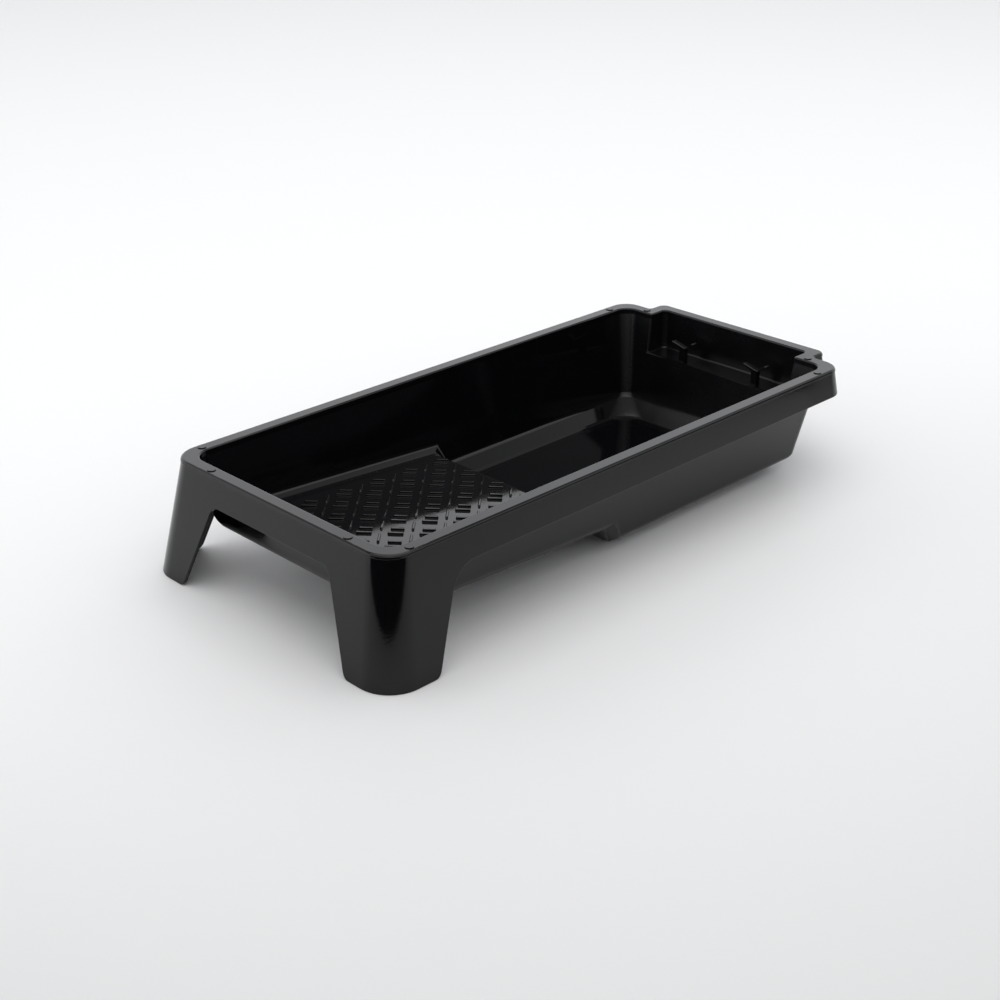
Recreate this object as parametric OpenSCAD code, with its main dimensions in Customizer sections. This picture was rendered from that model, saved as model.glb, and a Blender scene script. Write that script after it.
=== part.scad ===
// Mini paint roller tray: one injection moulding, split into its moulded features.
// The legs are at -Y, the paint well and the tool ledge at +Y, and Z = 0 is the table.

/* [Rim] */
// Width over the rim
rim_w = 150; // [140:1:160]
// Length of the rim along the basin, without the ledge
rim_l = 314; // [300:0.5:330]
// How far the ledge sticks out behind the basin
ledge_out = 11.5; // [9:0.5:14]
// Width of the rim round the ledge
ledge_w = 112; // [100:1:120]
// Height of the rim above the table
rim_z = 57.5; // [54:0.5:64]
// Width of the flat rim
rim_flat = 7; // [6:0.5:9]
// Thickness of the rim
rim_t = 2; // [1.6:0.2:2.4]
// Radius of the front corners, seen from above
front_r = 13; // [11:1:16]
// Radius of the basin's rear corners, seen from above
rear_r = 10; // [8:1:12]

/* [Skirt and legs] */
// Depth of the skirt below the rim's underside
skirt_h = 12.3; // [10:0.1:16]
// Thickness of the skirt and the legs
skirt_t = 1.8; // [1.4:0.2:2.2]
// Outward lean of the skirt and the legs, in mm for each mm down
flare = 0.184; // [0.1:0.001:0.2]
// Half width of the gap between the legs at the table
leg_gap_foot = 57.5; // [52:0.5:60]
// Half width of the gap between the legs at the skirt's edge
leg_gap_top = 40.5; // [36:0.5:44]
// How far back a leg reaches along the side at the table
leg_back_foot = 19; // [14:0.5:24]
// How far back a leg reaches along the side at the skirt's edge
leg_back_top = 36.5; // [32:0.5:42]
// Radius of a foot's corner, seen from above
foot_r = 17; // [14:1:22]

/* [Basin] */
// Wall thickness of the basin
wall_t = 2; // [1.6:0.2:2.4]
// Inward lean of the basin's walls, in mm for each mm down
draft = 0.18; // [0.14:0.01:0.2]
// Height of the ramp's surface at Y = 0
ramp_z0 = 26.3; // [25.5:0.1:27]
// Fall of the ramp, in mm for each mm along Y
ramp_fall = 0.0585; // [0.05:0.0005:0.065]
// Where the ramp ends
ramp_end = 148; // [144:1:150]
// Where the step down from the ramp meets the well's floor
well_start = 163; // [160:1:166]
// Where the well's floor ends
well_end = 286.7; // [284:0.1:290]
// Half width of the well's floor
well_half = 50; // [47:0.5:53]
// Height of the line where the walls turn into the well's chamfer
chamfer_z = 9; // [8:0.5:10]

/* [Ledge] */
// Height of the ledge's floor
ledge_z = 35.5; // [34:0.5:38]
// Inward lean of the ledge's walls
ledge_draft = 0.06; // [0.04:0.01:0.1]
// Distance between the two cradles that hold a roller's wire
cradle_gap = 50; // [46:1:60]

/* [Grip bars] */
// Angle of the bars from Y, as seen from above
bar_turn = 43.3; // [40:0.1:50]
// Pitch of the pairs along their own length
pitch_a = 14.6; // [14:0.1:16]
// Pitch of the pairs across their length
pitch_b = 14.75; // [14:0.05:16]
// Length of the near bar of a pair
bar_near = 7.3; // [6.5:0.1:7.8]
// Length of the far bar of a pair
bar_far = 6.3; // [5.5:0.1:7.5]
// Length of the single bars between the pairs
bar_single = 8.4; // [7:0.1:9]
// Width of a bar in a pair
bar_w = 1.7; // [1.4:0.1:2]
// Width of a single bar
single_w = 1.2; // [1:0.1:1.8]
// Height of the bars
bar_h = 1; // [0.6:0.1:1.4]
// Distance between the two bars of a pair
bar_gap = 5.1; // [4.5:0.1:5.5]

/* [Hidden] */

STEPS = 6;                              // facets in each rounded corner
tray_l = rim_l + ledge_out;
under = rim_z - rim_t;                  // underside of the rim
skirt_z = under - skirt_h;              // lower edge of the skirt
rim_lean = 0.35;                        // how much wider the rim is at its underside
overhang = 0.3;                         // the rim's lower edge stands this far proud of the skirt
foot_out = flare * under + rim_lean - overhang;    // how far the legs stand out at the table
mid_y = (rim_l + ledge_out + flare * skirt_h + rim_lean - overhang - foot_out) / 2;
rim_half = rim_w / 2;
ledge_half = ledge_w / 2;
in_half = rim_half - rim_flat;          // half width of the basin's mouth
in_rear = rim_l - rim_flat;             // rear of the basin's mouth
ledge_in = ledge_half - rim_flat;       // half width of the ledge's mouth
ledge_rear = tray_l - rim_flat;
floor_t = 2;
step_back = 1.2;                        // how far the step's underside lies in front of its face
leg_seam_x = leg_gap_top - 7;           // the legs end here along the front skirt
leg_seam_y = leg_back_top + 18;         // and here along the side skirts
shell_colour = [0.05, 0.05, 0.055];
floor_colour = [0.07, 0.07, 0.075];
detail_colour = [0.11, 0.11, 0.115];

// ---- outlines --------------------------------------------------------------------------------

// Moves a piece so that the middle of the whole tray's footprint is at the origin.
module place() translate([0, -mid_y, 0]) children();

function unit(v) = v / norm(v);
function mix(a, b, t) = a + (b - a) * t;

// The outline through verts, counter-clockwise, each corner rounded to its own radius.
function rounded(verts, radii, steps = STEPS) = [
    for (i = [0:len(verts) - 1])
        let (v = verts[i], r = radii[i], n = len(verts),
            d1 = unit(v - verts[(i + n - 1) % n]), d2 = unit(verts[(i + 1) % n] - v))
        for (k = [0:steps])
            v - r * d1 + r * d2 - r * cos(90 * k / steps) * d2 + r * sin(90 * k / steps) * d1];

function at_z(points, z) = [for (p = points) [p[0], p[1], z]];

ledge_r = 4;                            // the ledge's outer corners
inside_r = 2.5;                         // the inside corners where the ledge leaves the basin's rim
// The rim's outline with its ledge, moved outward by off.
function rim_verts(off) = [
    [-rim_half - off, -off], [rim_half + off, -off], [rim_half + off, rim_l + off],
    [ledge_half + off, rim_l + off], [ledge_half + off, tray_l + off],
    [-ledge_half - off, tray_l + off], [-ledge_half - off, rim_l + off],
    [-rim_half - off, rim_l + off]];
function rim_radii(off) = [
    front_r + off, front_r + off, rear_r + off, inside_r - off * 0.5, ledge_r + off,
    ledge_r + off, inside_r - off * 0.5, rear_r + off];
function rim_outline(off) = rounded(rim_verts(off), rim_radii(off));

// The basin's and the ledge's inner faces lean in as they go down.
function half_at(z) = in_half - draft * (rim_z - z);
function front_at(z) = rim_flat + draft * (rim_z - z);
function rear_at(z) = in_rear - draft * (rim_z - z);
function ledge_half_at(z) = ledge_in - ledge_draft * (rim_z - z);
function ledge_rear_at(z) = ledge_rear - ledge_draft * (rim_z - z);
function mouth_outline(z) = rounded([
    [-half_at(z), front_at(z)], [half_at(z), front_at(z)], [half_at(z), rear_at(z)],
    [ledge_half_at(z), rear_at(z)], [ledge_half_at(z), ledge_rear_at(z)],
    [-ledge_half_at(z), ledge_rear_at(z)], [-ledge_half_at(z), rear_at(z)],
    [-half_at(z), rear_at(z)]],
    [10, 10, 8, 1.2, 3, 3, 1.2, 8]);

// The skirt's and the legs' outer face.
function flare_at(z) = flare * (under - z) + rim_lean - overhang;

// ---- the basin's section, station by station round its foot ----------------------------------

function ramp_at(y) = ramp_z0 - ramp_fall * y;
foot_rise = 2.7;                        // height of the walls' foot above the ramp, at Y = 0
foot_fall = 0.0576;                     // and its fall, in mm for each mm along Y
// Where the walls end: just above the ramp, then down the step to the well's chamfer.
function wall_foot(y) =
    y <= wall_end ? ramp_z0 + foot_rise - foot_fall * y : chamfer_z;

corner_top_f = 10;                      // the basin's corner radii at the mouth and at the foot
corner_top_r = 8;
corner_foot_f = 7.6;
corner_foot_r = 6;
corner_floor_r = 16;
ramp_half_front = 60.9;
ramp_half_end = 58;
wall_end = ramp_end + 4.8;              // where the side walls' foot leaves the ramp
wall_start = wall_end + 4.2;            // and where it meets the well's chamfer
ramp_front = 13.5;

function arc(cx, cy, r, a0) = [
    for (k = [0:STEPS]) [cx + r * cos(a0 + 90 * k / STEPS), cy + r * sin(a0 + 90 * k / STEPS)]];
// One loop: front corners, right side, rear corners, left side.
function loop(hf, hm1, hm2, hr, yf, yr, rf, rr, y1, y2) = concat(
    arc(-hf + rf, yf + rf, rf, 180), arc(hf - rf, yf + rf, rf, 270),
    [[hm1, y1], [hm2, y2]],
    arc(hr - rr, yr - rr, rr, 0), arc(-hr + rr, yr - rr, rr, 90),
    [[-hm2, y2], [-hm1, y1]]);
N = STEPS + 1;
FRONT = [0:2 * N - 1];                  // stations of the two front corners
SIDE_R = 2 * N;                         // the ramp's end on the right, then the well's start
REAR = 2 * N + 2;                       // first station of the rear corners
TOTAL = 4 * N + 4;

knee_in = 0.17;                         // the outer face bends in by this at the walls' foot,
knee_drop = 1.13;                       // this far below the inner face's bend
well_in = 0.7;                          // the well's underside is this much smaller than its floor
side_over = 2.6;                        // the ramp's underside is this much wider, each side
front_over = 1;                         // and reaches this far forward
foot_f = wall_foot(19.4);
top_loop = loop(half_at(under), half_at(under), half_at(under), half_at(under),
    front_at(under), rear_at(under), corner_top_f, corner_top_r, wall_end, wall_start);
foot_loop = loop(half_at(foot_f), half_at(wall_foot(wall_end)), half_at(chamfer_z),
    half_at(chamfer_z), front_at(foot_f), rear_at(chamfer_z), corner_foot_f, corner_foot_r,
    wall_end, wall_start);
floor_loop = loop(ramp_half_front, ramp_half_end, well_half, well_half,
    ramp_front, well_end, corner_foot_f, corner_floor_r, ramp_end, well_start);

function is_well(i) = i > SIDE_R && i < TOTAL - 1;
function foot_z(i) = is_well(i) ? chamfer_z : wall_foot(foot_loop[i][1]);
function floor_z(i) = is_well(i) ? floor_t : ramp_at(floor_loop[i][1]);
function out_dir(i) =
    i < N ? [cos(180 + 90 * i / STEPS), sin(180 + 90 * i / STEPS)]
    : i < 2 * N ? [cos(270 + 90 * (i - N) / STEPS), sin(270 + 90 * (i - N) / STEPS)]
    : i < REAR ? [1, 0]
    : i < REAR + N ? [cos(90 * (i - REAR) / STEPS), sin(90 * (i - REAR) / STEPS)]
    : i < REAR + 2 * N ? [cos(90 + 90 * (i - REAR - N) / STEPS), sin(90 + 90 * (i - REAR - N) / STEPS)]
    : [-1, 0];
function lift(p, z) = [p[0], p[1], z];
function top_in(i) = lift(top_loop[i], under);
function top_out(i) = lift(top_loop[i] + wall_t * out_dir(i), under);
function foot_in(i) = lift(foot_loop[i], foot_z(i));
function foot_out(i) = lift(foot_loop[i] + wall_t * out_dir(i), foot_z(i));
function knee(i) = lift(foot_loop[i] + (wall_t - knee_in) * out_dir(i), foot_z(i) - knee_drop);
function floor_top(i) = lift(floor_loop[i], floor_z(i));
function at_step(i) = abs(floor_loop[i][1] - ramp_end) < 0.01 || abs(floor_loop[i][1] - well_start) < 0.01;
function floor_under(i) = let (d = out_dir(i),
        wx = is_well(i) ? -well_in : side_over, wy = is_well(i) ? -well_in : front_over)
    floor_top(i) + [wx * d[0], wy * d[1] - (at_step(i) ? step_back : 0), -floor_t];

function wall_section(i) = [top_in(i), foot_in(i), foot_out(i), top_out(i)];
function chamfer_section(i) = [foot_in(i), floor_top(i), floor_under(i), knee(i), foot_out(i)];

// ---- solids from sections --------------------------------------------------------------------

// A solid through sections of equal length, capped at its ends unless it is closed.
module skin(sections, closed = false) {
    n = len(sections);
    k = len(sections[0]);
    last = closed ? n - 1 : n - 2;
    points = [for (s = sections) each s];
    sides = [for (i = [0:last]) for (j = [0:k - 1])
        let (a = i * k + j, b = i * k + (j + 1) % k, c = ((i + 1) % n) * k + (j + 1) % k,
            d = ((i + 1) % n) * k + j)
        each [[a, b, c], [a, c, d]]];
    caps = closed ? [] : [
        for (j = [1:k - 2]) each [[0, j + 1, j], [(n - 1) * k, (n - 1) * k + j, (n - 1) * k + j + 1]]];
    polyhedron(points = points, faces = concat(sides, caps), convexity = 8);
}

// A plate between an upper and a lower outline of equal length, both convex.
module plate(upper, lower) skin([lower, upper]);

// ---- rim -------------------------------------------------------------------------------------

module rim_flange() color(shell_colour) place() {
    lower = rim_outline(rim_lean);
    upper = rim_outline(rim_lean * 0.25);
    edge = rim_outline(-0.5);
    inner = mouth_outline(rim_z);
    inner_low = mouth_outline(under);
    skin([for (i = [0:len(edge) - 1]) [
        lift(inner_low[i], under), lift(lower[i], under), lift(upper[i], rim_z - 0.5),
        lift(edge[i], rim_z), lift(inner[i], rim_z)]], closed = true);
}

nub_d = 4;
nub_h = 0.4;
nub_inset = rim_flat / 2;
module stacking_nubs() color(shell_colour) place()
    for (side = [-1, 1])
        for (p = [[rim_half - nub_inset, 15.5], [47.3, nub_inset],
                [rim_half - nub_inset, rim_l - 17.5], [ledge_half - 0.5, rim_l - nub_inset]])
            translate([side * p[0], p[1], rim_z]) cylinder(d = nub_d, h = nub_h, $fn = 32);

// ---- skirt and legs --------------------------------------------------------------------------

// The whole skirt as one closed ring between two heights.
module skirt_ring(z0, z1) {
    o1 = rim_outline(flare_at(z1));
    o0 = rim_outline(flare_at(z0));
    i1 = rim_outline(flare_at(z1) - skirt_t);
    i0 = rim_outline(flare_at(z0) - skirt_t);
    skin([for (i = [0:len(o1) - 1])
        [lift(i1[i], z1), lift(i0[i], z0), lift(o0[i], z0), lift(o1[i], z1)]], closed = true);
}

module skirt_part(x0, x1, y0, y1) intersection() {
    skirt_ring(skirt_z, under);
    translate([x0, y0, skirt_z - 1]) cube([x1 - x0, y1 - y0, skirt_h + 2]);
}

skirt_seam = rim_l - 14;                // the side skirts end here, before the rear corners
module skirt_front() color(shell_colour) place() skirt_part(-leg_seam_x, leg_seam_x, -10, 20);
module skirt_left() color(shell_colour) place() skirt_part(-rim_half - 10, -50, leg_seam_y, skirt_seam);
module skirt_right() color(shell_colour) place() skirt_part(50, rim_half + 10, leg_seam_y, skirt_seam);
module skirt_back() color(shell_colour) place()
    skirt_part(-rim_half - 10, rim_half + 10, skirt_seam, tray_l + 10);

// One leg: the corner of the skirt drawn down to the table, before it is cut to shape.
module leg_blank() {
    function corner(off, r) = concat(
        [[0, -off]], arc(rim_half + off - r, -off + r, r, 270), [[rim_half + off, 70]]);
    function half_corner(z, inset) = at_z(
        corner(flare_at(z) - inset, mix(foot_r, front_r + rim_lean - overhang, z / under) - inset), z);
    o1 = half_corner(under, 0);
    o0 = half_corner(0, 0);
    i1 = half_corner(under, skirt_t);
    i0 = half_corner(0, skirt_t);
    skin([for (i = [0:len(o1) - 1]) [i1[i], i0[i], o0[i], o1[i]]]);
}

front_arch = 6;                         // radii of the arches beside a leg
side_arch = 16;
toe = 2.2;                              // size of the rounding at a foot's tip
// What is cut away below the skirt's edge: seen from the front, and from the side.
// edge_low and edge_high are the leg's edge at the table and at the skirt, fillet is the arch's radius.
module gap_shape(edge_low, edge_high, fillet) {
    reach = 90;
    slope = (edge_high - edge_low) / skirt_z;
    lean = atan(slope);
    turn = 90 + lean;                   // how far the arch turns from the leg's edge to the skirt
    cx = edge_high - fillet * (1 / cos(lean) + slope);
    cy = skirt_z - fillet;
    polygon(concat(
        [[-reach, -1], [edge_low + toe * 1.2, -1], [edge_low + toe * 1.2, 0]],
        [for (k = [0:4]) let (a = k / 4, q = 1 - a)
            [edge_low, 0] * 2 * a * q + [edge_low + toe * 1.2, 0] * q * q
                + [edge_low + slope * toe * 1.4, toe * 1.4] * a * a],
        [for (k = [0:6]) let (a = -lean + turn * k / 6) [cx + fillet * cos(a), cy + fillet * sin(a)]],
        [[-reach, skirt_z]]));
}

module leg() intersection() {
    difference() {
        leg_blank();
        // between the legs: the shape lies in XZ, the leg is at its right
        translate([0, 60, 0]) rotate([90, 0, 0]) linear_extrude(100)
            gap_shape(leg_gap_foot, leg_gap_top, front_arch);
        // behind the leg: the shape lies in YZ, mirrored so that the leg is in front
        rotate([90, 0, 90]) linear_extrude(120) mirror([1, 0])
            gap_shape(-leg_back_foot, -leg_back_top, side_arch);
    }
    translate([leg_seam_x, -20, -1]) cube([60, leg_seam_y + 20, rim_z]);
}
module leg_right() color(shell_colour) place() leg();
module leg_left() color(shell_colour) place() mirror([1, 0, 0]) leg();

// ---- gussets under the rim -------------------------------------------------------------------

gusset_t = 1.5;
gusset_h = 8;
// The skirt's inner face and the basin's outer face, as distances from the rim's outer edge.
function skirt_face(z) = skirt_t - flare_at(z);
function wall_face(z, lean, inner) = inner - wall_t + lean * (rim_z - z);
module gusset(lean) rotate([90, 0, 0]) translate([0, 0, -gusset_t / 2]) linear_extrude(gusset_t)
    polygon([
        [skirt_face(under), under], [skirt_face(under - gusset_h), under - gusset_h],
        [wall_face(under - 3, lean, rim_flat), under - 3], [wall_face(under, lean, rim_flat), under]]);

module gussets_side() color(shell_colour) place()
    for (side = [-1, 1]) for (y = [18:39.5:257])
        translate([side * rim_half, y, 0]) mirror([side > 0 ? 1 : 0, 0, 0]) gusset(draft);

module gussets_end() color(shell_colour) place() {
    for (x = [-57, -29, 0, 29, 57]) translate([x, 0, 0]) rotate([0, 0, 90]) gusset(draft);
    for (x = [-36, 0, 36]) translate([x, tray_l, 0]) rotate([0, 0, -90]) gusset(ledge_draft);
}

// ---- basin -----------------------------------------------------------------------------------

module wall_front() color(floor_colour) place() skin([for (i = FRONT) wall_section(i)]);
module wall_right() color(floor_colour) place()
    skin([for (i = [2 * N - 1, SIDE_R, SIDE_R + 1, REAR]) wall_section(i)]);
module wall_left() color(floor_colour) place()
    skin([for (i = [REAR + 2 * N - 1, TOTAL - 2, TOTAL - 1, 0]) wall_section(i)]);

// The rear wall is whole below the ledge, and ends at a shoulder each side of it above.
ledge_under = ledge_z - floor_t;
function at_height(i, z) = let (t = (under - z) / (under - foot_z(i)))
    [mix(top_in(i), foot_in(i), t), mix(top_out(i), foot_out(i), t)];
module wall_back() color(floor_colour) place()
    skin([for (i = [REAR:REAR + 2 * N - 1]) let (t = at_height(i, ledge_under))
        [t[0], foot_in(i), foot_out(i), t[1]]]);

module shoulder() {
    seam = [for (i = [REAR:REAR + N - 1]) let (t = at_height(i, ledge_under))
        [top_in(i), t[0], t[1], top_out(i)]];
    e = len(seam) - 1;
    x1 = ledge_half_at(under) + wall_t;
    x0 = ledge_half_at(ledge_under) + wall_t;
    skin(concat(seam, [[
        [x1, seam[e][0][1], under], [x0, seam[e][1][1], ledge_under],
        [x0, seam[e][2][1], ledge_under], [x1, seam[e][3][1], under]]]));
}
module shoulder_right() color(floor_colour) place() shoulder();
module shoulder_left() color(floor_colour) place() mirror([1, 0, 0]) shoulder();

module ramp_chamfer() color(floor_colour) place()
    skin([for (i = [TOTAL - 1, each FRONT, SIDE_R]) chamfer_section(i)]);
module well_chamfer() color(floor_colour) place()
    skin([for (i = [SIDE_R:TOTAL - 1]) chamfer_section(i)]);

ramp_stations = [TOTAL - 1, each FRONT, SIDE_R];
module ramp_plate() color(floor_colour) place()
    plate([for (i = ramp_stations) floor_top(i)], [for (i = ramp_stations) floor_under(i)]);
module well_step() color(floor_colour) place() {
    s = [SIDE_R, SIDE_R + 1, TOTAL - 2, TOTAL - 1];
    plate([for (i = s) floor_top(i)], [for (i = s) floor_under(i)]);
}
well_stations = [SIDE_R + 1:TOTAL - 2];
module well_floor() color(floor_colour) place()
    plate([for (i = well_stations) floor_top(i)], [for (i = well_stations) floor_under(i)]);

// Raised bars: pairs along one diagonal of the ramp, and single bars between them along the other.
module bar(length, width) {
    a = length / 2;
    b = width / 2;
    c = width * 0.18;
    linear_extrude(bar_h) polygon([[a, b - c], [a - c, b], [c - a, b], [-a, b - c],
        [-a, c - b], [c - a, -b], [a - c, -b], [a, c - b]]);
}
bar_x = -35.2;                          // the middle of one pair's near bar
bar_y = ramp_end - 18.4;
bar_shift = 0.5;                        // the far bar of a pair sits this far along
bars_half = 50.5;                       // a bar's middle stays inside these limits
bars_front = 19;
bars_rear = ramp_end - 2.6;
// Place along and across, length, width and turn of the three bars that repeat.
bar_kinds = [
    [0, 0, bar_near, bar_w, 0],
    [bar_shift, bar_gap, bar_far, bar_w, 0],
    [(pitch_a + bar_shift) / 2, (bar_gap + pitch_b) / 2 - 0.9, bar_single, single_w, 90]];
module grip_bars() color(detail_colour) place() translate([0, 0, ramp_z0]) rotate([-atan(ramp_fall), 0, 0])
    for (i = [-9:10]) for (j = [-9:10]) for (kind = bar_kinds) {
        p = i * pitch_a + kind[0];
        q = j * pitch_b + kind[1];
        x = bar_x + p * sin(bar_turn) - q * sin(bar_turn);
        y = bar_y + p * cos(bar_turn) + q * cos(bar_turn);
        if (abs(x) < bars_half && y > bars_front && y < bars_rear)
            translate([x, y, 0]) rotate([0, 0, kind[4] == 0 ? 90 - bar_turn : 90 + bar_turn])
                bar(kind[2], kind[3]);
    }

// ---- ledge -----------------------------------------------------------------------------------

function ledge_path(z, t) = let (h = ledge_half_at(z), y0 = rear_at(z), y1 = ledge_rear_at(z), r = 3)
    concat([[h + t, y0]], arc(h - r, y1 - r, r + t, 0), arc(-h + r, y1 - r, r + t, 90), [[-h - t, y0]]);
module ledge_wall() color(floor_colour) place() {
    a = ledge_path(under, 0);
    b = ledge_path(ledge_under, 0);
    c = ledge_path(ledge_under, wall_t);
    d = ledge_path(under, wall_t);
    skin([for (i = [0:len(a) - 1])
        [lift(a[i], under), lift(b[i], ledge_under), lift(c[i], ledge_under), lift(d[i], under)]]);
}
module ledge_floor() color(floor_colour) place()
    plate(at_z(ledge_path(ledge_z, 0), ledge_z), at_z(ledge_path(ledge_under, 0), ledge_under));

// Each cradle: a post, and a fork on it that opens upward to take a wire lying along Y.
post_w = 3.9;
post_d = 3.4;
post_h = 7.5;
post_y = rear_at(ledge_z) + 2.25 + post_d / 2;
arm_t = 1.2;
arm_l = 5.6;                            // the low arm, on the left
rise_l = 2.2;
arm_r = 6;                              // the high arm, on the right
rise_r = 4.4;
notch = 0.9;                            // the notch's right side stands this far beside the post
module cradle_post(x) translate([x - post_w / 2, post_y - post_d / 2, ledge_z])
    cube([post_w, post_d, post_h]);
module cradle(x) translate([x, post_y + post_d / 2, ledge_z + post_h])
    rotate([90, 0, 0]) linear_extrude(post_d) {
        a = post_w / 2;
        t = arm_t;
        polygon([[-a, 0], [a, 0], [a + arm_r, rise_r], [a + arm_r - t * 0.8, rise_r + t * 0.6],
            [a + notch, t], [a * 0.6, t], [-a - arm_l + t * 0.3, rise_l + t * 0.9],
            [-a - arm_l, rise_l]]);
    }
module cradle_post_left() color(detail_colour) place() cradle_post(-cradle_gap / 2);
module cradle_post_right() color(detail_colour) place() cradle_post(cradle_gap / 2);
module cradle_left() color(detail_colour) place() cradle(-cradle_gap / 2);
module cradle_right() color(detail_colour) place() cradle(cradle_gap / 2);

rim_flange();
stacking_nubs();
skirt_front();
skirt_left();
skirt_right();
skirt_back();
leg_left();
leg_right();
gussets_side();
gussets_end();
wall_front();
wall_left();
wall_right();
wall_back();
shoulder_left();
shoulder_right();
ledge_wall();
ledge_floor();
ramp_chamfer();
well_chamfer();
ramp_plate();
grip_bars();
well_step();
well_floor();
cradle_post_left();
cradle_post_right();
cradle_left();
cradle_right();
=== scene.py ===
# A mini paint roller tray in a pale studio: one closed skin for the moulding, with softened edges,
# and separate meshes for the ramp's grip bars and the two wire cradles.
import math

import bmesh
import bpy
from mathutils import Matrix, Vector


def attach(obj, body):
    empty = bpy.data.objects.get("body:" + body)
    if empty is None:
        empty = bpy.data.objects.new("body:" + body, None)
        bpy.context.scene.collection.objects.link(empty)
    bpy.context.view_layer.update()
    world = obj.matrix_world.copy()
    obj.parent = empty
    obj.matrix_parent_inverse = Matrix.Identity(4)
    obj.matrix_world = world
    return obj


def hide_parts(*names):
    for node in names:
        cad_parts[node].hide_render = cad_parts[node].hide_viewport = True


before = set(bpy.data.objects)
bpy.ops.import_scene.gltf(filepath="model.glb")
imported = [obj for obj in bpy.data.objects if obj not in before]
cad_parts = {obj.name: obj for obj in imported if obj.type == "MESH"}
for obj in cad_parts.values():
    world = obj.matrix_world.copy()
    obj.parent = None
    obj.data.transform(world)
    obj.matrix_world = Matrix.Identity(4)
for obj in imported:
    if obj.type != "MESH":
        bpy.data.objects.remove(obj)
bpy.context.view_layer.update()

# ---- the moulding's dimensions, in mm, with Y = 0 at the front of the rim -----------------------
MID = 158.776                            # middle of the footprint along Y, which becomes the origin
STEPS = 12                               # facets in each rounded corner
# Heights of the rim's top and underside, and of the skirt's lower edge
RIM_Z, UNDER, SKIRT_Z = 57.5, 55.5, 43.2
# Half width of the rim, its length without and with the ledge, half width of the ledge's rim
RIM_HALF, RIM_L, TRAY_L, LEDGE_HALF = 75.0, 314.0, 325.5, 56.0
# The mouth: basin's half width, front and rear, then the ledge's half width and rear
IN_HALF, IN_FRONT, IN_REAR, LEDGE_IN, LEDGE_REAR = 68.0, 7.0, 307.0, 49.0, 318.5
# Corner radii of the rim at the front, at the basin's rear, inside beside the ledge, and of the ledge
FRONT_R, REAR_R, INSIDE_R, LEDGE_R = 13.0, 10.0, 2.5, 4.0
FOOT_R = 17.0                            # and of a leg at the table
# Corner radii of the mouth: front, rear, ledge, and inside beside the ledge with its least value
MOUTH_FRONT_R, MOUTH_REAR_R, MOUTH_LEDGE_R, MOUTH_INSIDE_R, MOUTH_INSIDE_MIN = 10.0, 8.0, 3.0, 1.2, 0.4
# The side stations' range along the rim, the same along the mouth, and the front stations' share
RIM_SPAN, MOUTH_SPAN, MOUTH_SHARE = (14.0, 303.5), (17.3, 298.0), 57 / 60
# Outward lean of the skirt, how far it stands out at its top, and the rim at its underside
FLARE, SKIRT_TOP, RIM_LOW = 0.184, 0.05, 0.35
SKIRT_T, WALL_T, FLOOR_T = 1.8, 2.0, 2.0
# A narrow band below the rim's inner edge: its lower end, and how far it leans in by there
BAND_Z, BAND_IN = 54.6, 0.1
LEAN, LEDGE_LEAN = 0.19, 0.06            # inward lean of the basin's and the ledge's walls
LEDGE_Z = 35.5
# The ramp's height at Y = 0, its fall in mm for each mm, and its end
RAMP_Z0, RAMP_FALL, RAMP_END = 26.3, 0.0585, 148.0
RAMP_FRONT, RAMP_HALF_FRONT, RAMP_HALF_END = 13.5, 60.9, 58.0
WELL_START, WELL_END, WELL_HALF, WELL_R = 163.0, 286.7, 50.0, 16.0
CHAMFER_Z = 9.0                          # where the walls turn into the well's chamfer
# The foot of the side walls: its height at Y = 0 and its fall, where it leaves the ramp, and where
# it meets the well's chamfer
WALL_FOOT_Z0, WALL_FOOT_FALL, WALL_END, WALL_START = 29.0, 0.0576, 152.8, 157.0
FOOT_FRONT_R, FOOT_REAR_R = 7.6, 6.0     # corner radii of the walls' foot
# The outer face bends this far outside the inner one, and this far below it
KNEE_OUT, KNEE_DROP = 1.83, 1.13
# The underside of the well is smaller than its floor, and that of the ramp is larger
WELL_UNDER, RAMP_UNDER, STEP_BACK = (-0.7, -0.7), (2.6, 1.0), 1.2
# The arches beside a leg: the leg's edge at the table and at the skirt, and the arch's radius
FRONT_GAP, SIDE_GAP = (57.5, 40.5, 6.0), (-19.0, -36.5, 16.0)
TOE = 2.2                                # size of the rounding at a foot's tip
# Toward the table the legs' stations fan out: from this line, by this share of the distance
FAN_X, FAN_X_SHARE = 40, 5.2 / 21
FAN_Y, FAN_Y_SHARE = 50, 5.2 / 36
SHARP = math.radians(25)                 # an edge that has no bevel and turns more than this is crisp


def mix(a, b, t):
    return a + (b - a) * t


def arc(cx, cy, r, a0):
    """A quarter of a circle, from a0 degrees."""
    return [(cx + r * math.cos(math.radians(a0 + 90 * k / STEPS)),
             cy + r * math.sin(math.radians(a0 + 90 * k / STEPS))) for k in range(STEPS + 1)]


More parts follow.
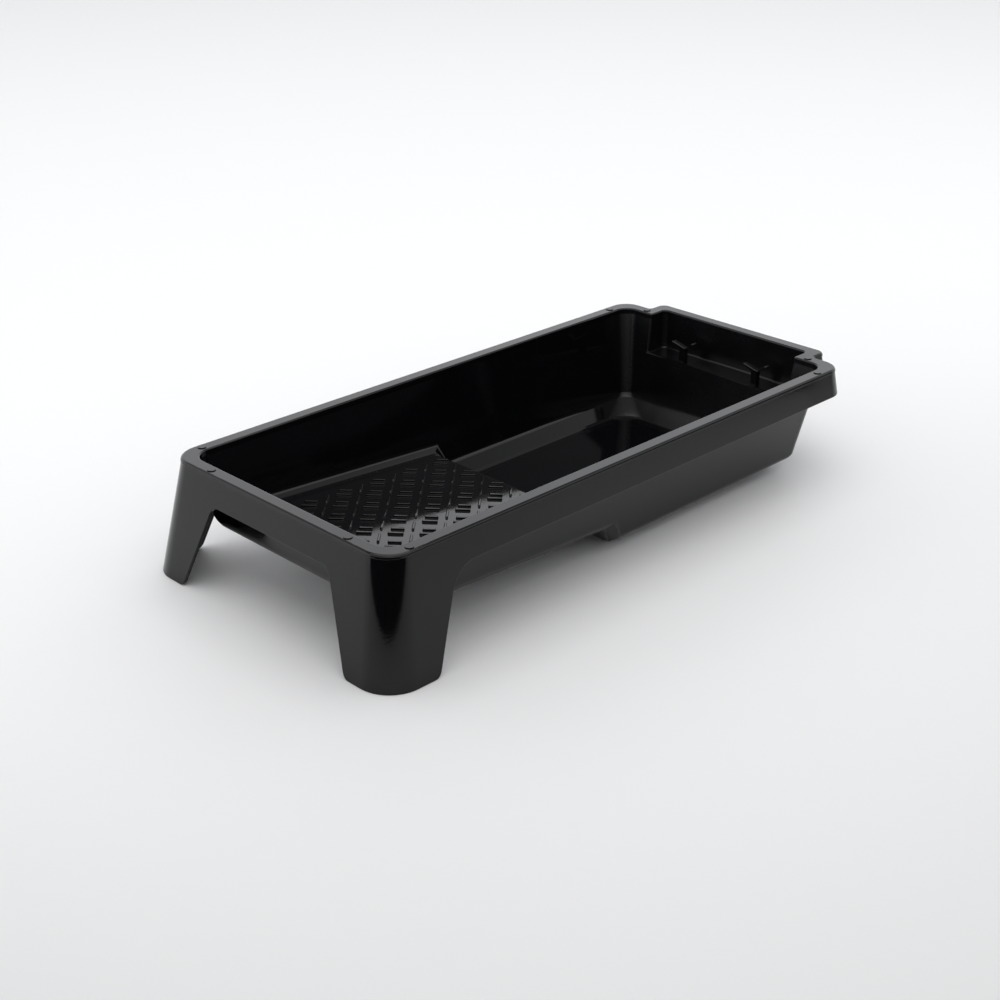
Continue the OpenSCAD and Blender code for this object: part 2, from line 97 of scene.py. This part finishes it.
# ---- the mesh being built -------------------------------------------------------------------------
class Build:
    """A mesh in the making: faces that meet share their vertices, and an edge may carry a bevel."""

    def __init__(self):
        self.bm = bmesh.new()
        self.seen = {}
        self.soft = {}

    def v(self, p):
        key = (round(p[0], 3), round(p[1], 3), round(p[2], 3))
        if key not in self.seen:
            self.seen[key] = self.bm.verts.new((p[0] / 1000, (p[1] - MID) / 1000, p[2] / 1000))
        return self.seen[key]

    def face(self, pts, flip=False):
        vs = []
        for p in pts:
            w = self.v(p)
            if w not in vs:
                vs.append(w)
        if len(vs) < 3:
            return
        if flip:
            vs.reverse()
        try:
            self.bm.faces.new(vs)
        except ValueError:
            pass

    def strip(self, a, b, closed=True, flip=False):
        n = len(a)
        for i in range(n if closed else n - 1):
            j = (i + 1) % n
            self.face([a[i], a[j], b[j], b[i]], flip)

    def soften(self, pts, width, closed=True):
        n = len(pts)
        for i in range(n if closed else n - 1):
            a, b = self.v(pts[i]), self.v(pts[(i + 1) % n])
            if a is not b:
                self.soft[frozenset((a, b))] = width

    def mesh(self, name, widest):
        bmesh.ops.recalc_face_normals(self.bm, faces=self.bm.faces)
        layer = self.bm.edges.layers.float.new("bevel_weight_edge")
        for pair, width in self.soft.items():
            a, b = tuple(pair)
            e = self.bm.edges.get((a, b))
            if e is not None:
                e[layer] = width / widest
        self.bm.normal_update()
        for e in self.bm.edges:
            if e[layer] == 0 and e.calc_face_angle(0) > SHARP:
                e.smooth = False
        for f in self.bm.faces:
            f.smooth = True
        me = bpy.data.meshes.new(name)
        self.bm.to_mesh(me)
        self.bm.free()
        return me


def add(me, name):
    ob = bpy.data.objects.new(name, me)
    bpy.context.scene.collection.objects.link(ob)
    return ob


def bevelled(ob, width_mm, segments):
    m = ob.modifiers.new("edges", "BEVEL")
    m.width = width_mm / 1000
    m.segments = segments
    m.limit_method = "WEIGHT"
    m.use_clamp_overlap = False
    m.harden_normals = True
    m.miter_outer = "MITER_SHARP"
    w = ob.modifiers.new("normals", "WEIGHTED_NORMAL")
    w.mode = "FACE_AREA"
    w.weight = 100
    w.keep_sharp = True
    return ob


# ---- outlines, station by station ---------------------------------------------------------------
def gap_curve(low, high, fillet):
    """The edge of a leg from the skirt down to the table, as (distance, height) pairs."""
    slope = (high - low) / SKIRT_Z
    lean = math.atan(slope)
    cx, cy = high - fillet * (1 / math.cos(lean) + slope), SKIRT_Z - fillet
    pts = []
    for k in range(9):
        a = math.radians(90) + (-lean - math.radians(90)) * k / 8
        pts.append((cx + fillet * math.cos(a), cy + fillet * math.sin(a)))
    p0, p1, p2 = (low + slope * TOE * 1.4, TOE * 1.4), (low, 0.0), (low + TOE * 1.2, 0.0)
    for k in range(7):
        t = k / 6
        q = 1 - t
        pts.append((p0[0] * q * q + 2 * p1[0] * t * q + p2[0] * t * t,
                    p0[1] * q * q + 2 * p1[1] * t * q + p2[1] * t * t))
    return pts


front_curve = gap_curve(*FRONT_GAP)
side_curve = [(-d, z) for d, z in gap_curve(*SIDE_GAP)]


def front_column(x, z):
    """Where the station that passes through (x, z) on a leg's front stands at the top."""
    q = FAN_X_SHARE * (UNDER - z) / UNDER
    return (x + FAN_X * q) / (1 + q) if x > FAN_X else x


def side_column(y, z):
    """The same on a leg's side."""
    q = FAN_Y_SHARE * (UNDER - z) / UNDER
    return (y + FAN_Y * q) / (1 + q) if y < FAN_Y else y


def lean_off(z):
    """How far outside the rim's edge the skirt's face is at height z."""
    return FLARE * (UNDER - z) + SKIRT_TOP


# Each station: kind, where it is at the top, and the height at which the skirt ends there.
stations = []
right_front = [(front_column(x, z), z) for x, z in front_curve]
left_front = [(-x, z) for x, z in reversed(right_front)]
for x, z in left_front + right_front:
    stations.append(("front", x, z))
for k in range(STEPS + 1):
    stations.append(("corner_r", -90 + 90 * k / STEPS, 0.0))
side_stations = [(side_column(y, z), z) for y, z in reversed(side_curve)]
for y, z in side_stations:
    stations.append(("right", y, z))
rear_first = len(stations)
for corner in range(2, 8):
    for k in range(STEPS + 1):
        stations.append(("rear", (corner, k), SKIRT_Z))
rear_last = len(stations) - 1
for y, z in reversed(side_stations):
    stations.append(("left", y, z))
for k in range(STEPS + 1):
    stations.append(("corner_l", 180 + 90 * k / STEPS, 0.0))


def rounded_corner(verts, radii, corner, k):
    """Point k of the arc that rounds one right-angled corner of an outline."""
    n = len(verts)
    v = Vector(verts[corner])
    d1 = (v - Vector(verts[corner - 1])).normalized()
    d2 = (Vector(verts[(corner + 1) % n]) - v).normalized()
    r = radii[corner]
    c, s = math.cos(math.pi / 2 * k / STEPS), math.sin(math.pi / 2 * k / STEPS)
    p = v - r * d1 + r * d2 - r * c * d2 + r * s * d1
    return p.x, p.y


def rim_point(st, off):
    """A point of the rim's outline moved outward by off, at a station of the rear part."""
    verts = [(-RIM_HALF - off, -off), (RIM_HALF + off, -off), (RIM_HALF + off, RIM_L + off),
             (LEDGE_HALF + off, RIM_L + off), (LEDGE_HALF + off, TRAY_L + off),
             (-LEDGE_HALF - off, TRAY_L + off), (-LEDGE_HALF - off, RIM_L + off),
             (-RIM_HALF - off, RIM_L + off)]
    inside = INSIDE_R - off * 0.5
    radii = [FRONT_R + off, FRONT_R + off, REAR_R + off, inside, LEDGE_R + off, LEDGE_R + off,
             inside, REAR_R + off]
    return rounded_corner(verts, radii, st[1][0], st[1][1])


def outer(i, z, depth=0.0, rim=False):
    """A point of the skirt's or a leg's face at height z; rim=True gives the rim's own edge."""
    kind, at, _ = stations[i]
    off = (RIM_LOW * (RIM_Z - z) / (RIM_Z - UNDER) if rim else lean_off(z)) - depth
    t = 0.0 if rim else (UNDER - z) / UNDER
    if kind == "front":
        x = abs(at)
        x = x + max(0.0, x - FAN_X) * FAN_X_SHARE * t
        return math.copysign(x, at), -off, z
    if kind in ("right", "left"):
        y = at - max(0.0, FAN_Y - at) * FAN_Y_SHARE * t
        s = 1 if kind == "right" else -1
        return s * (RIM_HALF + off), y, z
    if kind in ("corner_r", "corner_l"):
        r = (FRONT_R + off if rim else mix(FRONT_R + SKIRT_TOP, FOOT_R, t)) - depth
        s = 1 if kind == "corner_r" else -1
        a = math.radians(at)
        return (s * (RIM_HALF + off - r) + r * math.cos(a), -off + r + r * math.sin(a), z)
    x, y = rim_point(stations[i], off)
    return x, y, z


def mouth(i, z, off=0.0):
    """A point of the basin's and the ledge's mouth at height z, moved outward by off."""
    d = BAND_IN * (RIM_Z - z) / (RIM_Z - BAND_Z) if z >= BAND_Z else BAND_IN + LEAN * (BAND_Z - z)
    e = BAND_IN * (RIM_Z - z) / (RIM_Z - BAND_Z) if z >= BAND_Z else BAND_IN + LEDGE_LEAN * (BAND_Z - z)
    h, yf, yr = IN_HALF - d + off, IN_FRONT + d - off, IN_REAR - d + off
    lh, lr = LEDGE_IN - e + off, LEDGE_REAR - e + off
    kind, at, _ = stations[i]
    # The mouth is smaller than the rim, so its stations stand a little closer together
    if kind == "front":
        return at * MOUTH_SHARE, yf, z
    if kind in ("right", "left"):
        y = mix(*MOUTH_SPAN, (at - RIM_SPAN[0]) / (RIM_SPAN[1] - RIM_SPAN[0]))
        return (h if kind == "right" else -h), y, z
    if kind in ("corner_r", "corner_l"):
        r = MOUTH_FRONT_R + off
        s = 1 if kind == "corner_r" else -1
        a = math.radians(at)
        return s * (h - r) + r * math.cos(a), yf + r + r * math.sin(a), z
    verts = [(-h, yf), (h, yf), (h, yr), (lh, yr), (lh, lr), (-lh, lr), (-lh, yr), (-h, yr)]
    nib = max(MOUTH_INSIDE_R - off, MOUTH_INSIDE_MIN)
    front, rear, ledge = MOUTH_FRONT_R + off, MOUTH_REAR_R + off, MOUTH_LEDGE_R + off
    radii = [front, front, rear, nib, ledge, ledge, nib, rear]
    x, y = rounded_corner(verts, radii, at[0], at[1])
    return x, y, z


# ---- the basin's foot and floor -----------------------------------------------------------------
def ramp_at(y):
    return RAMP_Z0 - RAMP_FALL * y


def wall_foot(y):
    """Height of the walls' foot."""
    return WALL_FOOT_Z0 - WALL_FOOT_FALL * y if y <= WALL_END else CHAMFER_Z


def half_at(z):
    """Half width between the basin's walls."""
    return IN_HALF - BAND_IN - LEAN * (BAND_Z - z)


def ring(hf, hm1, hm2, hr, yf, yr, rf, rr, y1, y2):
    """Front left and right corners, right side, rear right and left corners, left side."""
    return (arc(-hf + rf, yf + rf, rf, 180) + arc(hf - rf, yf + rf, rf, 270)
            + [(hm1, y1), (hm2, y2)]
            + arc(hr - rr, yr - rr, rr, 0) + arc(-hr + rr, yr - rr, rr, 90)
            + [(-hm2, y2), (-hm1, y1)])


N = STEPS + 1                            # stations in each corner
SIDE_R, REAR, TOTAL = 2 * N, 2 * N + 2, 4 * N + 4     # first of the right side, first of the rear, all
foot_f = wall_foot(19.4)
foot_ring = ring(half_at(foot_f), half_at(wall_foot(WALL_END)), half_at(CHAMFER_Z), half_at(CHAMFER_Z),
                 IN_FRONT + BAND_IN + LEAN * (BAND_Z - foot_f),
                 IN_REAR - BAND_IN - LEAN * (BAND_Z - CHAMFER_Z),
                 FOOT_FRONT_R, FOOT_REAR_R, WALL_END, WALL_START)
floor_ring = ring(RAMP_HALF_FRONT, RAMP_HALF_END, WELL_HALF, WELL_HALF, RAMP_FRONT, WELL_END,
                  FOOT_FRONT_R, WELL_R, RAMP_END, WELL_START)


def turned(a0):
    """The outward directions round one corner, from a0 degrees."""
    return [(math.cos(math.radians(a0 + 90 * k / STEPS)), math.sin(math.radians(a0 + 90 * k / STEPS)))
            for k in range(N)]


outward = turned(180) + turned(270) + [(1, 0), (1, 0)] + turned(0) + turned(90) + [(-1, 0), (-1, 0)]


def in_well(i):
    return SIDE_R < i < TOTAL - 1


def foot(i, under):
    x, y = foot_ring[i]
    z = CHAMFER_Z if in_well(i) else wall_foot(y)
    if under:
        return x + KNEE_OUT * outward[i][0], y + KNEE_OUT * outward[i][1], z - KNEE_DROP
    return x, y, z


def floor(i, under):
    x, y = floor_ring[i]
    z = FLOOR_T if in_well(i) else ramp_at(y)
    if under:
        at_step = i in (SIDE_R, SIDE_R + 1, TOTAL - 2, TOTAL - 1)
        wx, wy = WELL_UNDER if in_well(i) else RAMP_UNDER
        back = STEP_BACK if at_step else 0.0
        return x + wx * outward[i][0], y + wy * outward[i][1] - back, z - FLOOR_T
    return x, y, z


def basin(b, under):
    """The basin's and the ledge's inner face, or with under=True their outer face."""
    off = WALL_T if under else 0.0
    top = UNDER if under else BAND_Z
    ledge = LEDGE_Z - (FLOOR_T if under else 0.0)
    loop = [mouth(i, top, off) for i in range(len(stations))]
    nf = len(left_front) + len(right_front)
    cr, cl = nf, len(stations) - N
    feet = [foot(i, under) for i in range(TOTAL)]
    floors = [floor(i, under) for i in range(TOTAL)]
    # front wall, with the corners either side of it
    b.face([loop[cl + N - 1]] + loop[:nf] + [loop[cr]] + [feet[N], feet[N - 1]], under)
    for k in range(STEPS):
        b.face([loop[cr + k], loop[cr + k + 1], feet[N + k + 1], feet[N + k]], under)
        b.face([loop[cl + k], loop[cl + k + 1], feet[k + 1], feet[k]], under)
    # side walls
    b.face(loop[cr + N - 1:rear_first + 1]
           + [feet[REAR], feet[SIDE_R + 1], feet[SIDE_R], feet[2 * N - 1]], under)
    b.face(loop[rear_last:cl + 1]
           + [feet[0], feet[TOTAL - 1], feet[TOTAL - 2], feet[REAR + 2 * N - 1]], under)
    # rear corners of the basin
    last = rear_last - STEPS
    for k in range(STEPS):
        b.face([loop[rear_first + k], loop[rear_first + k + 1], feet[REAR + k + 1], feet[REAR + k]], under)
        b.face([loop[last + k], loop[last + k + 1], feet[REAR + N + k + 1], feet[REAR + N + k]], under)
    # the ledge, and the wall below and beside it
    a, z = rear_first + N, last - 1
    ledge_loop = [mouth(i, ledge, off) for i in range(a, z + 1)]
    b.strip(loop[a:z + 1], ledge_loop, closed=False, flip=under)
    b.face(ledge_loop, under)
    b.face([loop[a - 1], loop[a], ledge_loop[0], ledge_loop[-1], loop[z], loop[last],
            feet[REAR + N], feet[REAR + N - 1]], under)
    # chamfer and floors
    b.strip(feet, floors, flip=under)
    b.face([floors[TOTAL - 1]] + floors[:SIDE_R + 1], under)
    b.face([floors[SIDE_R], floors[SIDE_R + 1], floors[TOTAL - 2], floors[TOTAL - 1]], under)
    b.face(floors[SIDE_R + 1:TOTAL - 1], under)
    # softened edges
    b.soften(feet, 1.6)
    b.soften(floors[SIDE_R + 1:TOTAL - 1], 2.2, closed=False)
    b.soften([floors[TOTAL - 1]] + floors[:SIDE_R + 1], 0.9, closed=False)
    b.soften([floors[SIDE_R], floors[SIDE_R + 1]], 3.0, closed=False)
    b.soften([floors[TOTAL - 2], floors[TOTAL - 1]], 3.0, closed=False)
    b.soften([floors[SIDE_R], floors[TOTAL - 1]], 1.4, closed=False)
    b.soften([floors[SIDE_R + 1], floors[TOTAL - 2]], 2.2, closed=False)
    b.soften(ledge_loop, 0.8 if under else 1.0, closed=False)
    b.soften([ledge_loop[0], ledge_loop[-1]], 1.0, closed=False)
    return loop


b = Build()
count = range(len(stations))
inner_band = basin(b, False)
inner_top = [mouth(i, RIM_Z) for i in count]
b.strip(inner_top, inner_band)
b.soften(inner_band, 0.5)
rim_top = [outer(i, RIM_Z, rim=True) for i in count]
rim_low = [outer(i, UNDER, rim=True) for i in count]
b.strip(rim_top, inner_top)
b.strip(rim_low, rim_top)
b.soften(inner_top, 0.8)
b.soften(rim_top, 1.1)
b.soften(rim_low, 0.3)
skirt_top = [outer(i, UNDER) for i in count]
skirt_low = [outer(i, stations[i][2]) for i in count]
skirt_low_in = [outer(i, stations[i][2], SKIRT_T) for i in count]
skirt_top_in = [outer(i, UNDER, SKIRT_T) for i in count]
b.strip(skirt_top, rim_low)
b.strip(skirt_low, skirt_top)
b.strip(skirt_low_in, skirt_low)
b.strip(skirt_top_in, skirt_low_in)
b.soften(skirt_low, 0.4)
b.soften(skirt_low_in, 0.3)
under_loop = basin(b, True)
b.strip(under_loop, skirt_top_in)
WIDEST = 3.0                             # the widest softening of all, which the others are shares of
tray = bevelled(add(b.mesh("tray_moulding", WIDEST), "tray_moulding"), WIDEST, 4)

# ---- grip bars: pairs across the tray's one diagonal, single bars along the other -----------------
TURN, PITCH_A, PITCH_B = 43.3, 14.6, 14.75    # the diagonals' angle from Y, and the pitch along each
BARS_HALF, BARS_FRONT, BARS_REAR = 50.5, 19, RAMP_END - 2.6    # a bar's middle stays inside these
BAR_X, BAR_Y = -35.2, 129.6                   # the middle of one pair's near bar
NEAR_L, FAR_L, SINGLE_L = 7.3, 6.3, 8.4
BAR_W, SINGLE_W, BAR_GAP, BAR_SHIFT = 1.7, 1.2, 5.1, 0.5
slope = math.atan(RAMP_FALL)
turn = math.radians(TURN)


def bar_ring(length, width, inset, z):
    """A bar's outline with cut corners, made smaller by inset."""
    r = width / 2 - inset
    c = length / 2 - width / 2
    k = 0.35
    return [(sx * (c + r - (0 if corner else k * r)), sy * (r - (k * r if corner else 0)), z)
            for sx, sy, corner in ((1, -1, 0), (1, -1, 1), (1, 1, 1), (1, 1, 0),
                                   (-1, 1, 0), (-1, 1, 1), (-1, -1, 1), (-1, -1, 0))]


def bar_places():
    """Middle, length and direction of every bar on the ramp."""
    a, b = (math.sin(turn), math.cos(turn)), (-math.sin(turn), math.cos(turn))
    between = (PITCH_A / 2 + BAR_SHIFT / 2, (BAR_GAP + PITCH_B) / 2 - 0.9)
    kinds = ((0.0, 0.0, NEAR_L, a), (BAR_SHIFT, BAR_GAP, FAR_L, a), (*between, SINGLE_L, b))
    for i in range(-9, 11):
        for j in range(-9, 11):
            for da, db, length, along in kinds:
                p, q = i * PITCH_A + da, j * PITCH_B + db
                x, y = BAR_X + p * a[0] + q * b[0], BAR_Y + p * a[1] + q * b[1]
                if abs(x) < BARS_HALF and BARS_FRONT < y < BARS_REAR:
                    yield x, y, length, along


# A bar's side from its flared foot, sunk a little into the ramp, to its rounded top: inset and height
BAR_SIDE = ((-0.25, -0.3), (-0.1, 0.06), (0.0, 0.22), (0.06, 0.8), (0.16, 0.95), (0.34, 1.0))


def bar_mesh():
    """All the bars as one mesh."""
    bm = bmesh.new()
    for x, y, length, along in bar_places():
        rows = []
        for inset, z in BAR_SIDE:
            row = []
            for px, py, pz in bar_ring(length, SINGLE_W if along[0] < 0 else BAR_W, inset, z):
                qx, qy = px * along[0] - py * along[1] + x, px * along[1] + py * along[0] + y
                yy = qy * math.cos(slope) + pz * math.sin(slope)
                zz = RAMP_Z0 - qy * math.sin(slope) + pz * math.cos(slope)
                row.append(bm.verts.new((qx / 1000, (yy - MID) / 1000, zz / 1000)))
            rows.append(row)
        m = len(rows[0])
        for r0, r1 in zip(rows, rows[1:]):
            for k in range(m):
                bm.faces.new([r0[k], r0[(k + 1) % m], r1[(k + 1) % m], r1[k]])
        bm.faces.new(rows[-1])
        bm.faces.new(list(reversed(rows[0])))
    bmesh.ops.recalc_face_normals(bm, faces=bm.faces)
    for f in bm.faces:
        f.smooth = True
    me = bpy.data.meshes.new("grip_bars_soft")
    bm.to_mesh(me)
    bm.free()
    return me


bars = add(bar_mesh(), "grip_bars_soft")
bw = bars.modifiers.new("normals", "WEIGHTED_NORMAL")
bw.mode = "FACE_AREA"
bw.weight = 100

# ---- the two cradles: a post and its fork in one ------------------------------------------------
POST_W, POST_D, POST_H, ARM_T = 3.9, 3.4, 7.5, 1.2
# How far each arm reaches out and up: the low one on the left, the high one on the right
ARM_L, RISE_L, ARM_R, RISE_R = 5.6, 2.2, 6.0, 4.4
NOTCH = 0.9                              # the notch's right side stands this far beside the post
CRADLE_X = 25.0
CRADLE_EDGE = 0.35                       # how far a cradle's edges are softened
POST_FOOT = 0.4                          # the post goes this far into the ledge's floor
POST_GAP = 2.25                          # from the basin's rear wall to the front of a post
CAD_DRAFT = 0.18                         # the lean of that wall in the CAD, which places the post
post_y = IN_REAR - CAD_DRAFT * (RIM_Z - LEDGE_Z) + POST_GAP + POST_D / 2


def cradle(x0, name):
    a, t = POST_W / 2, ARM_T
    prof = [(a, -POST_H - POST_FOOT), (a, 0), (a + ARM_R, RISE_R), (a + ARM_R - t * 0.8, RISE_R + t * 0.6),
            (a + NOTCH, t), (a * 0.6, t), (-a - ARM_L + t * 0.3, RISE_L + t * 0.9), (-a - ARM_L, RISE_L),
            (-a, 0), (-a, -POST_H - POST_FOOT)]
    c = Build()
    z0 = LEDGE_Z + POST_H
    back = [(x0 + x, post_y + POST_D / 2, z0 + z) for x, z in prof]
    front = [(x0 + x, post_y - POST_D / 2, z0 + z) for x, z in prof]
    c.face(front)
    c.face(list(reversed(back)))
    c.strip(back, front)
    n = len(prof)
    c.soften(front, CRADLE_EDGE)
    c.soften(back, CRADLE_EDGE)
    for k in range(n):
        if k not in (0, n - 1):
            c.soften([front[k], back[k]], CRADLE_EDGE, closed=False)
    return bevelled(add(c.mesh(name, CRADLE_EDGE), name), CRADLE_EDGE, 3)


cradle_l = cradle(-CRADLE_X, "wire_cradle_left")
cradle_r = cradle(CRADLE_X, "wire_cradle_right")

# ---- looks ---------------------------------------------------------------------------------------
GLOSS = 0.055                            # roughness of the plastic, which varies a little round this
LEDGE_DULLNESS = 0.2                     # what is added to it at the ledge
DULL_FROM, DULL_FULL = 0.122, 0.136      # where along Y, in metres, that starts and is complete
DARK, PALE = (0.0012, 0.0013, 0.0016), (0.00264, 0.00286, 0.00368)


def black_plastic():
    """Glossy black plastic with slow changes of gloss and tint, and a very fine unevenness."""
    mat = bpy.data.materials.new("black_polypropylene")
    mat.use_nodes = True
    nt = mat.node_tree
    nt.nodes.clear()
    out = nt.nodes.new("ShaderNodeOutputMaterial")
    bsdf = nt.nodes.new("ShaderNodeBsdfPrincipled")
    nt.links.new(bsdf.outputs["BSDF"], out.inputs["Surface"])
    bsdf.inputs["IOR"].default_value = 1.4
    co = nt.nodes.new("ShaderNodeTexCoord")
    noise = nt.nodes.new("ShaderNodeTexNoise")
    noise.inputs["Scale"].default_value = 35.0
    noise.inputs["Detail"].default_value = 5.0
    nt.links.new(co.outputs["Object"], noise.inputs["Vector"])
    ramp = nt.nodes.new("ShaderNodeMapRange")
    ramp.inputs["From Min"].default_value = 0.3
    ramp.inputs["From Max"].default_value = 0.7
    ramp.inputs["To Min"].default_value = GLOSS - 0.025
    ramp.inputs["To Max"].default_value = GLOSS + 0.05
    nt.links.new(noise.outputs["Fac"], ramp.inputs["Value"])
    place = nt.nodes.new("ShaderNodeSeparateXYZ")
    nt.links.new(co.outputs["Object"], place.inputs["Vector"])
    dull = nt.nodes.new("ShaderNodeMapRange")
    dull.inputs["From Min"].default_value = DULL_FROM
    dull.inputs["From Max"].default_value = DULL_FULL
    dull.inputs["To Max"].default_value = LEDGE_DULLNESS
    nt.links.new(place.outputs["Y"], dull.inputs["Value"])
    total = nt.nodes.new("ShaderNodeMath")
    nt.links.new(ramp.outputs["Result"], total.inputs[0])
    nt.links.new(dull.outputs["Result"], total.inputs[1])
    nt.links.new(total.outputs["Value"], bsdf.inputs["Roughness"])
    tint = nt.nodes.new("ShaderNodeMix")
    tint.data_type = "RGBA"
    tint.inputs["A"].default_value = (*DARK, 1)
    tint.inputs["B"].default_value = (*PALE, 1)
    nt.links.new(noise.outputs["Fac"], tint.inputs["Factor"])
    nt.links.new(tint.outputs["Result"], bsdf.inputs["Base Color"])
    fine = nt.nodes.new("ShaderNodeTexNoise")
    fine.inputs["Scale"].default_value = 900.0
    fine.inputs["Detail"].default_value = 2.0
    nt.links.new(co.outputs["Object"], fine.inputs["Vector"])
    bump = nt.nodes.new("ShaderNodeBump")
    bump.inputs["Strength"].default_value = 0.12
    bump.inputs["Distance"].default_value = 0.00006
    nt.links.new(fine.outputs["Fac"], bump.inputs["Height"])
    nt.links.new(bump.outputs["Normal"], bsdf.inputs["Normal"])
    return mat


black = black_plastic()
# First letters of the nodes that the tray's one skin stands for
MOULDING = ("rim_", "skirt", "leg_", "wall", "shoulder", "ledge", "ramp", "well")
made = {tray: [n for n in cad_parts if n.startswith(MOULDING)],
        bars: ["grip_bars"],
        cradle_l: ["cradle_post_left", "cradle_left"],
        cradle_r: ["cradle_post_right", "cradle_right"]}
for ob, nodes in made.items():
    ob.data.materials.append(black)
    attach(ob, "root")
    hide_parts(*nodes)
# The nubs and gussets are the CAD's own meshes, with a fine bevel
for n in ("stacking_nubs", "gussets_side", "gussets_end"):
    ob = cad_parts[n]
    ob.data.materials.clear()
    ob.data.materials.append(black)
    for p in ob.data.polygons:
        p.use_smooth = True
    m = ob.modifiers.new("edges", "BEVEL")
    m.width = 0.00025
    m.segments = 3
    m.angle_limit = math.radians(35)
    m.harden_normals = True

# ---- floor, light and camera ---------------------------------------------------------------------
me = bpy.data.meshes.new("floor")
FLOOR = 6                                # half the floor's width, in metres
me.from_pydata([(-FLOOR, -FLOOR, 0), (FLOOR, -FLOOR, 0), (FLOOR, FLOOR, 0), (-FLOOR, FLOOR, 0)], [],
               [(0, 1, 2, 3)])
ground = add(me, "floor")
gm = bpy.data.materials.new("pale_floor")
gm.use_nodes = True
gb = gm.node_tree.nodes["Principled BSDF"]
gb.inputs["Base Color"].default_value = (0.82, 0.82, 0.82, 1)
gb.inputs["Roughness"].default_value = 0.6
me.materials.append(gm)

world = bpy.data.worlds.new("studio")
bpy.context.scene.world = world
world.use_nodes = True
bg = world.node_tree.nodes["Background"]
bg.inputs["Color"].default_value = (0.97, 0.98, 1.0, 1)
wt = world.node_tree
# The sky is bright near the horizon and dim overhead
sky = wt.nodes.new("ShaderNodeTexCoord")
axes = wt.nodes.new("ShaderNodeSeparateXYZ")
wt.links.new(sky.outputs["Generated"], axes.inputs["Vector"])
dim = wt.nodes.new("ShaderNodeMapRange")
dim.interpolation_type = "SMOOTHSTEP"
dim.inputs["From Min"].default_value = 0.42
dim.inputs["From Max"].default_value = 0.85
dim.inputs["To Min"].default_value = 1.45
dim.inputs["To Max"].default_value = 0.3
wt.links.new(axes.outputs["Z"], dim.inputs["Value"])
wt.links.new(dim.outputs["Result"], bg.inputs["Strength"])


def lamp(name, loc, target, size, power):
    """A square lamp that faces target."""
    d = bpy.data.lights.new(name, "AREA")
    d.shape = "RECTANGLE"
    d.size = d.size_y = size
    d.energy = power
    o = bpy.data.objects.new(name, d)
    bpy.context.scene.collection.objects.link(o)
    o.location = loc
    o.rotation_mode = "QUATERNION"
    o.rotation_quaternion = (Vector(target) - Vector(loc)).to_track_quat("-Z", "Y")


lamp("top", (0.1, 0.0, 2.0), (0, 0, 0), 2.6, 30)
SCREEN_R, SCREEN_H, SCREEN_STEPS = 0.5, 0.2, 16       # metres, and panels in each screen


def screen(name, a0, a1, shade):
    """A low curved screen on the camera's side for the plastic to mirror, hidden from the camera."""
    sm = bmesh.new()
    around = [math.radians(a0 + (a1 - a0) * k / SCREEN_STEPS) for k in range(SCREEN_STEPS + 1)]
    low = [sm.verts.new((SCREEN_R * math.sin(a), -SCREEN_R * math.cos(a), 0.0)) for a in around]
    high = [sm.verts.new((SCREEN_R * math.sin(a), -SCREEN_R * math.cos(a), SCREEN_H)) for a in around]
    for k in range(SCREEN_STEPS):
        sm.faces.new([low[k], low[k + 1], high[k + 1], high[k]])
    me = bpy.data.meshes.new(name)
    sm.to_mesh(me)
    sm.free()
    o = add(me, name)
    m = bpy.data.materials.new(name)
    m.use_nodes = True
    node = m.node_tree.nodes["Principled BSDF"]
    node.inputs["Base Color"].default_value = (shade, shade, shade, 1)
    node.inputs["Roughness"].default_value = 0.9
    me.materials.append(m)
    o.visible_camera = False


screen("dark_screen", -6.0, 100.0, 0.01)
screen("grey_screen", 101.0, 150.0, 0.16)

AZIMUTH, ELEVATION = math.radians(45.23), math.radians(24.24)
cam = bpy.data.cameras.new("camera")
camera = bpy.data.objects.new("camera", cam)
bpy.context.scene.collection.objects.link(camera)
bpy.context.scene.camera = camera
back = Vector((math.sin(AZIMUTH) * math.cos(ELEVATION), -math.cos(AZIMUTH) * math.cos(ELEVATION),
               math.sin(ELEVATION)))
camera.location = (0.5218, -0.3782 - MID / 1000, 0.3594)
camera.rotation_mode = "QUATERNION"
camera.rotation_quaternion = (-back).to_track_quat("-Z", "Y")
cam.lens = 59.48
cam.sensor_width = 36.0
cam.shift_x, cam.shift_y = -0.0023, -0.028
cam.clip_start, cam.clip_end = 0.01, 50

bpy.context.scene.view_settings.view_transform = "Standard"
